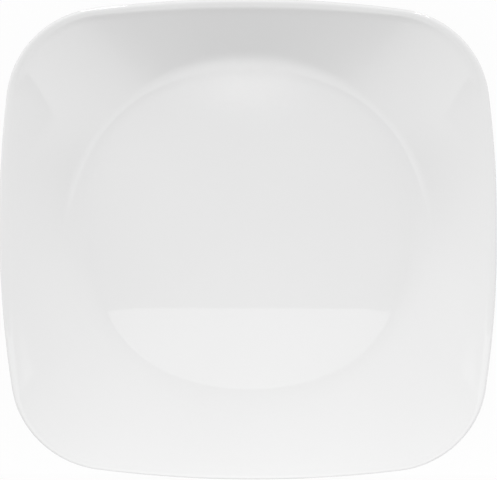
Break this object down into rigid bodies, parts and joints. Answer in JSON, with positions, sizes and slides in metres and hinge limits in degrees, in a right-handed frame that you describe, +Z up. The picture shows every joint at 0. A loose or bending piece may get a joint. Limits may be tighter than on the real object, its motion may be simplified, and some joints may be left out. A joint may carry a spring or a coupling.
{
  "type": "cake plate",
  "caption": "Thin white plate with bowed sides and round corners, a round well and a sloping rim that levels off at a rounded lip; holds cake or other food.",
  "frame": {"origin": "middle of the plate, on the table that it stands on", "axes": "+Z up, out of the well; X and Y towards the middle of the plate's sides"},
  "size_m": [0.26, 0.26, 0.022],
  "materials": {
    "upper_skin": "clear glass, polished, in the white that it shows over the core",
    "core": "white opal glass",
    "lower_skin": "clear glass, slightly rubbed on the base, in the white that it shows over the core"
  },
  "bodies": {
    "root": {"upper_glass_skin": "upper_skin", "opal_glass_core": "core", "lower_glass_skin": "lower_skin"}
  },
  "joints": []
}
